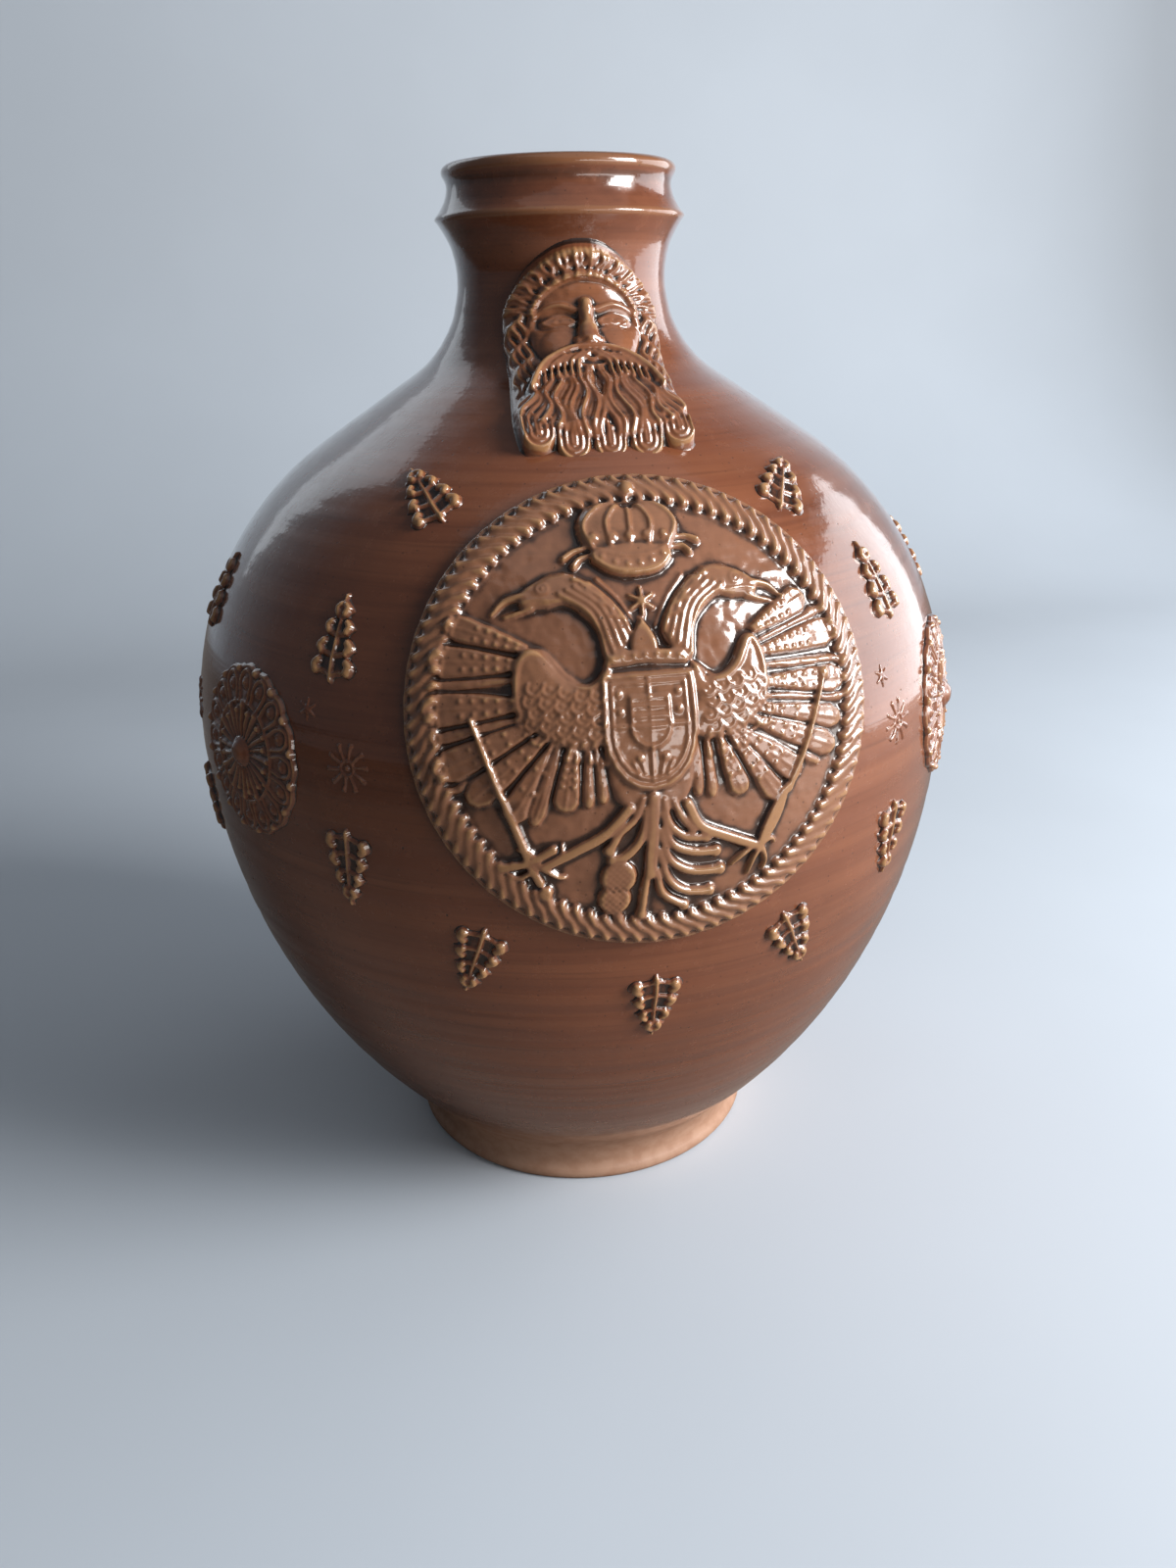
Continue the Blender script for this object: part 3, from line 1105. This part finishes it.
with bpy.context.temp_override(active_object=strap, selected_editable_objects=[strap, *joints]):
    bpy.ops.object.join()
handle = settle_piece(strap, "handle")
print("handle faces", len(handle.data.polygons))

# %% [markdown]
# The finish is a reddish-brown salt glaze over tan stoneware. It was washed on with a brush and
# then glazed by salt vapour, so its colour drifts in long level streaks, and fine pits and iron
# specks dot it. It runs off raised edges, which turn golden tan, and pools dark in the hollows.
# Near the foot it thins out to bare clay. One node group makes colour, roughness and bump
# height for every piece, and the shader itself stays in each material.

# %% Short names for shader nodes
def node(tree, kind, **settings):
    """A new node with its settings and inputs filled in."""
    made = tree.nodes.new(kind)
    for key, value in settings.items():
        if key.startswith("in_"):
            made.inputs[key[3:]].default_value = value
        else:
            setattr(made, key, value)
    return made


def math_node(tree, operation, a, b, clamp=False):
    """One sum of two values, each a socket or a number."""
    made = tree.nodes.new("ShaderNodeMath")
    made.operation, made.use_clamp = operation, clamp
    for k, value in enumerate((a, b)):
        if isinstance(value, (int, float)):
            made.inputs[k].default_value = value
        else:
            tree.links.new(value, made.inputs[k])
    return made.outputs[0]


def steps(tree, value, low, high, to_low=0.0, to_high=1.0):
    """A value mapped from one range to another with soft ends."""
    made = tree.nodes.new("ShaderNodeMapRange")
    made.interpolation_type = "SMOOTHSTEP"
    tree.links.new(value, made.inputs["Value"])
    limits = {"From Min": low, "From Max": high, "To Min": to_low, "To Max": to_high}
    for name, limit in limits.items():
        made.inputs[name].default_value = limit
    return made.outputs["Result"]


def blend(tree, share, a, b):
    """Colour a turned into colour b by a share."""
    made = tree.nodes.new("ShaderNodeMix")
    made.data_type = "RGBA"
    tree.links.new(share, made.inputs["Factor"])
    for socket, value in ((made.inputs["A"], a), (made.inputs["B"], b)):
        if isinstance(value, tuple):
            socket.default_value = (*value, 1.0)
        else:
            tree.links.new(value, socket)
    return made.outputs["Result"]


def noise(tree, where, scale, detail=3.0, roughness=0.55, distortion=0.0):
    """A noise field."""
    made = node(tree, "ShaderNodeTexNoise", in_Scale=scale, in_Detail=detail, in_Roughness=roughness,
                in_Distortion=distortion)
    tree.links.new(where, made.inputs["Vector"])
    return made.outputs["Fac"]


def stretched(tree, where, x, y, z):
    """The place scaled by x, y and z."""
    made = node(tree, "ShaderNodeMapping", in_Scale=(x, y, z))
    tree.links.new(where, made.inputs["Vector"])
    return made.outputs["Vector"]


print("shader helpers ready")

# %% The colours of the glaze
RED_BROWN = (0.20, 0.064, 0.029)
DARK_BROWN = (0.095, 0.030, 0.014)
WARM_BROWN = (0.245, 0.084, 0.038)
LIGHT_BROWN = (0.29, 0.145, 0.083)
GOLDEN = (0.47, 0.26, 0.11)
POOLED = (0.026, 0.012, 0.008)
BARE_CLAY = (0.42, 0.25, 0.17)
FIRED_CLAY = (0.35, 0.19, 0.12)

glaze = bpy.data.node_groups.new("salt_glaze", "ShaderNodeTree")
VALUE, COLOR = "NodeSocketFloat", "NodeSocketColor"
for name in ("Ridge", "Relief", "Golden edges", "Pooling", "Lighter wash"):
    glaze.interface.new_socket(name, in_out="INPUT", socket_type=VALUE)
for name, kind in (("Color", COLOR), ("Roughness", VALUE), ("Coat", VALUE), ("Height", VALUE)):
    glaze.interface.new_socket(name, in_out="OUTPUT", socket_type=kind)
inputs, outputs = glaze.nodes.new("NodeGroupInput"), glaze.nodes.new("NodeGroupOutput")
place = glaze.nodes.new("ShaderNodeTexCoord").outputs["Object"]
split = glaze.nodes.new("ShaderNodeSeparateXYZ")
glaze.links.new(place, split.inputs[0])
height = split.outputs["Z"]

streaks = noise(glaze, stretched(glaze, place, 3, 3, 190), 1.0, 5.0, 0.6, 0.3)
fine_streaks = noise(glaze, stretched(glaze, place, 14, 14, 620), 1.0, 3.0, 0.6, 0.2)
clouds = noise(glaze, place, 9.0, 4.0, 0.55)
mottle = noise(glaze, place, 160.0, 4.0, 0.6)
color = blend(glaze, steps(glaze, streaks, 0.38, 0.66), RED_BROWN, WARM_BROWN)
color = blend(glaze, steps(glaze, clouds, 0.42, 0.70, 0.0, 0.45), color, DARK_BROWN)
color = blend(glaze, steps(glaze, fine_streaks, 0.50, 0.72, 0.0, 0.35), color, DARK_BROWN)
color = blend(glaze, steps(glaze, mottle, 0.52, 0.74, 0.0, 0.30), color, WARM_BROWN)
print("streaks made from", len(glaze.nodes), "nodes")


# %% Iron specks and pits: dark dots in two sizes
def dots(scale, size):
    """A mask of round dots."""
    cells = node(glaze, "ShaderNodeTexVoronoi", in_Scale=scale)
    glaze.links.new(place, cells.inputs["Vector"])
    near = steps(glaze, cells.outputs["Distance"], size, size * 0.5)
    pick = node(glaze, "ShaderNodeSeparateColor")
    glaze.links.new(cells.outputs["Color"], pick.inputs[0])
    return math_node(glaze, "MULTIPLY", near, steps(glaze, pick.outputs[0], 0.62, 0.70))


specks = dots(420.0, 0.20)
pits = dots(95.0, 0.055)
color = blend(glaze, inputs.outputs["Lighter wash"], color, LIGHT_BROWN)
color = blend(glaze, math_node(glaze, "MULTIPLY", specks, 0.45), color, POOLED)
color = blend(glaze, math_node(glaze, "MULTIPLY", pits, 0.8), color, POOLED)
print("specks and pits added")


# %% Thin on ridges, pooled in hollows, and bare clay towards the foot under a thin wash
def swing(field, amount):
    """A noise field turned into a swing round zero."""
    return math_node(glaze, "MULTIPLY", math_node(glaze, "SUBTRACT", field, 0.5), amount)


ridge = inputs.outputs["Ridge"]
uneven = swing(mottle, 0.6)
thin = steps(glaze, math_node(glaze, "ADD", ridge, uneven), 0.12, 0.65, 0.0, 0.8)
raised = steps(glaze, math_node(glaze, "ADD", inputs.outputs["Relief"], uneven), 2.3, 4.2, 0.0, 0.12)
thin = math_node(glaze, "MAXIMUM", thin, raised)
thin = math_node(glaze, "MULTIPLY", thin, inputs.outputs["Golden edges"], True)
deep = steps(glaze, math_node(glaze, "ADD", ridge, uneven), -0.08, -0.50)
deep = math_node(glaze, "MULTIPLY", deep, inputs.outputs["Pooling"], True)
color = blend(glaze, thin, color, GOLDEN)
color = blend(glaze, deep, color, POOLED)

border = math_node(glaze, "ADD", height, swing(clouds, 0.05))
border = math_node(glaze, "ADD", border, swing(streaks, 0.02))
bare = steps(glaze, border, 0.052, 0.016)
clay_tone = blend(glaze, steps(glaze, mottle, 0.35, 0.7), BARE_CLAY, FIRED_CLAY)
color = blend(glaze, bare, color, clay_tone)
rough = steps(glaze, mottle, 0.3, 0.75, 0.16, 0.30)
rough = math_node(glaze, "ADD", rough, math_node(glaze, "MULTIPLY", bare, 0.35))
coat = math_node(glaze, "SUBTRACT", 1.0, math_node(glaze, "MULTIPLY", bare, 0.85), True)
print("colour ends in", color.node.name)

# %% Bump height in millimetres: fine rings, slow waves, orange-peel skin, pits and specks
rings = math_node(glaze, "MULTIPLY", noise(glaze, stretched(glaze, place, 3, 3, 260), 1.0, 3.0), 0.10)
peel = math_node(glaze, "MULTIPLY", noise(glaze, place, 520.0, 2.0, 0.5), 0.035)
waves = math_node(glaze, "MULTIPLY", noise(glaze, place, 60.0, 2.0, 0.5), 0.09)
level = math_node(glaze, "ADD", math_node(glaze, "ADD", rings, peel), waves)
level = math_node(glaze, "SUBTRACT", level, math_node(glaze, "MULTIPLY", pits, 0.12))
level = math_node(glaze, "SUBTRACT", level, math_node(glaze, "MULTIPLY", specks, 0.02))
for name, value in (("Color", color), ("Roughness", rough), ("Coat", coat), ("Height", level)):
    glaze.links.new(value, outputs.inputs[name])
print("the glaze has", len(glaze.nodes), "nodes")


# %% One material for each share of golden edges, dark hollows and lighter wash
def glazed(name, golden, pooling, lighter=0.0):
    """A material of the salt glaze, with its own shares."""
    material = bpy.data.materials.new(name)
    material.use_nodes = True
    tree = material.node_tree
    tree.nodes.clear()
    shader = tree.nodes.new("ShaderNodeBsdfPrincipled")
    finish = tree.nodes.new("ShaderNodeGroup")
    finish.node_tree = glaze
    for name, share in (("Golden edges", golden), ("Pooling", pooling), ("Lighter wash", lighter)):
        finish.inputs[name].default_value = share
    for name in ("Ridge", "Relief"):
        stored = node(tree, "ShaderNodeAttribute", attribute_name=name.lower())
        tree.links.new(stored.outputs["Fac"], finish.inputs[name])
    bump = node(tree, "ShaderNodeBump", in_Distance=MM, in_Strength=1.0)
    tree.links.new(finish.outputs["Height"], bump.inputs["Height"])
    for source, use in (("Color", "Base Color"), ("Roughness", "Roughness"), ("Coat", "Coat Weight")):
        tree.links.new(finish.outputs[source], shader.inputs[use])
    for use in ("Normal", "Coat Normal"):
        tree.links.new(bump.outputs["Normal"], shader.inputs[use])
    shader.inputs["IOR"].default_value = 1.5
    shader.inputs["Coat Roughness"].default_value = 0.07
    out = tree.nodes.new("ShaderNodeOutputMaterial")
    tree.links.new(shader.outputs[0], out.inputs["Surface"])
    return material


body_glaze = glazed("body_glaze", 0.22, 0.5)
medal_glaze = glazed("medallion_glaze", 0.62, 0.9, 0.5)
mask_glaze = glazed("mask_glaze", 0.75, 1.0)
sprig_glaze = glazed("sprig_glaze", 0.9, 1.0)
for piece in (vessel, handle):
    piece.data.materials.append(body_glaze)
finishes = {"medallion_relief": medal_glaze, "mask_relief": mask_glaze}
for piece in sprigs:
    piece.data.materials.append(finishes.get(piece.name, sprig_glaze))
print("materials", [m.name for m in bpy.data.materials])

# %% [markdown]
# The jug stands on a plain pale floor that curves up into a backdrop. Only the camera sees the
# floor as pale: the glaze is lit by a darker and warmer one, as by old wood, because a pale
# floor would wash out the dark lower half. A soft window on the right gives the main highlight,
# and a low light fills the front. Two large glows on the right and far left stand for
# bright walls, and a dim overhead light fills the shoulder. The camera looks down from a little
# above the neck, as the photographer stood.

# %% The floor
FLOOR_PALE = (0.60, 0.67, 0.75)
FLOOR_SHADE = (0.20, 0.175, 0.16)


def plain(name, color, roughness):
    """A plain material with faint mottling, darker for all but the camera and high reflections."""
    material = bpy.data.materials.new(name)
    material.use_nodes = True
    tree = material.node_tree
    shader = tree.nodes["Principled BSDF"]
    shader.inputs["Roughness"].default_value = roughness
    where = tree.nodes.new("ShaderNodeTexCoord").outputs["Object"]
    mottling = steps(tree, noise(tree, where, 3.0, 3.0), 0.3, 0.7)
    tone = blend(tree, mottling, color, tuple(0.96 * c for c in color))
    paths = tree.nodes.new("ShaderNodeLightPath").outputs
    above = tree.nodes.new("ShaderNodeSeparateXYZ")
    tree.links.new(where, above.inputs[0])
    high = steps(tree, above.outputs["Z"], 0.03, 0.12)
    mirrored = math_node(tree, "MULTIPLY", paths["Is Glossy Ray"], high)
    seen = math_node(tree, "MAXIMUM", paths["Is Camera Ray"], mirrored)
    tree.links.new(blend(tree, seen, FLOOR_SHADE, tone), shader.inputs["Base Color"])
    return material


FLOOR_HALF = 4.4
STRIPS = 22
SWEEP_START, SWEEP_RADIUS = 0.75, 0.45
rounding = [(SWEEP_START + SWEEP_RADIUS * math.sin(a), SWEEP_RADIUS - SWEEP_RADIUS * math.cos(a))
            for a in np.linspace(0, math.pi / 2, 16)]
sweep = spaced([(-4.0, 0), (SWEEP_START, 0), *rounding, (1.2, 2.4)], 0.05)
floor_points = [(x, y, z) for x in np.linspace(-FLOOR_HALF, FLOOR_HALF, STRIPS + 1) for y, z in sweep]
columns = len(sweep)
corners = [i * columns + j for i in range(STRIPS) for j in range(columns - 1)]
floor_faces = [(c, c + columns, c + columns + 1, c + 1) for c in corners]
floor = new_mesh("floor", np.array(floor_points) / MM, floor_faces)
floor.data.materials.append(plain("pale_floor", FLOOR_PALE, 0.7))
print("floor", len(floor_faces), "faces")

# %% The lights: azimuth to the right of the front, height, distance, size, power and tint
AIM = Vector((0, 0, 0.2))


def window(name, azimuth, height, distance, size, power, tint):
    """A soft rectangular light that faces the jug."""
    light = bpy.data.lights.new(name, "AREA")
    light.shape, light.size, light.size_y = "RECTANGLE", size[0], size[1]
    light.energy, light.color = power, tint
    thing = bpy.data.objects.new(name, light)
    a = math.radians(azimuth)
    thing.location = Vector((distance * math.sin(a), -distance * math.cos(a), height))
    thing.rotation_euler = (AIM - thing.location).to_track_quat("-Z", "Y").to_euler()
    bpy.context.scene.collection.objects.link(thing)


window("window_right", 58, 0.76, 1.35, (0.62, 0.8), 31, (1.0, 0.985, 0.97))
window("room_front", 40, 0.24, 1.6, (1.9, 0.4), 9, (1.0, 0.97, 0.94))
window("wall_glow_right", 100, 0.40, 1.25, (1.1, 1.0), 9, (0.93, 0.96, 1.0))
window("wall_glow_left", -150, 0.9, 1.3, (0.6, 1.2), 1.6, (0.85, 0.93, 1.0))
window("overhead", 30, 1.7, 0.6, (1.9, 1.9), 2.4, (0.95, 0.97, 1.0))
world = bpy.data.worlds.new("soft_sky")
world.use_nodes = True
sky = world.node_tree
lighting = sky.nodes["Background"]
in_view = node(sky, "ShaderNodeBackground", in_Color=(0.62, 0.70, 0.78, 1.0), in_Strength=0.9)
lighting.inputs["Color"].default_value = (0.80, 0.89, 1.0, 1.0)
lighting.inputs["Strength"].default_value = 0.11
mix = sky.nodes.new("ShaderNodeMixShader")
sky.links.new(sky.nodes.new("ShaderNodeLightPath").outputs["Is Camera Ray"], mix.inputs[0])
sky.links.new(lighting.outputs[0], mix.inputs[1])
sky.links.new(in_view.outputs[0], mix.inputs[2])
sky.links.new(mix.outputs[0], sky.nodes["World Output"].inputs[0])
bpy.context.scene.world = world
bpy.context.scene.view_settings.view_transform = "Standard"
print("lights", len(bpy.data.lights))

# %% The camera, fitted to the picture's perspective
SENSOR = 36.0
FOCAL_PIXELS = 1220
PICTURE_PIXELS = 1600
CAMERA_PLACE = (-0.0792, -0.4583, 0.3342)

camera_data = bpy.data.cameras.new("camera")
camera_data.sensor_width = SENSOR
camera_data.lens = FOCAL_PIXELS / PICTURE_PIXELS * SENSOR
camera = bpy.data.objects.new("camera", camera_data)
bpy.context.scene.collection.objects.link(camera)
side, yaw, pitch, roll = (math.radians(a) for a in (-9.8, 0.70, 22.07, -1.27))
look = Vector((math.sin(yaw) * math.cos(pitch), math.cos(yaw) * math.cos(pitch), -math.sin(pitch)))
look = Matrix.Rotation(side, 3, "Z") @ look
right = look.cross(Vector((0, 0, 1))).normalized()
up = right.cross(look)
right, up = right * math.cos(roll) + up * math.sin(roll), up * math.cos(roll) - right * math.sin(roll)
turn = Matrix((right, up, -look)).transposed()
camera.matrix_world = Matrix.Translation(Vector(CAMERA_PLACE)) @ turn.to_4x4()
bpy.context.scene.camera = camera
print("camera lens", round(camera_data.lens, 2), "mm")

# %% [markdown]
# Last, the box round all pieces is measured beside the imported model's. The two should agree
# closely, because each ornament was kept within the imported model's own reach.
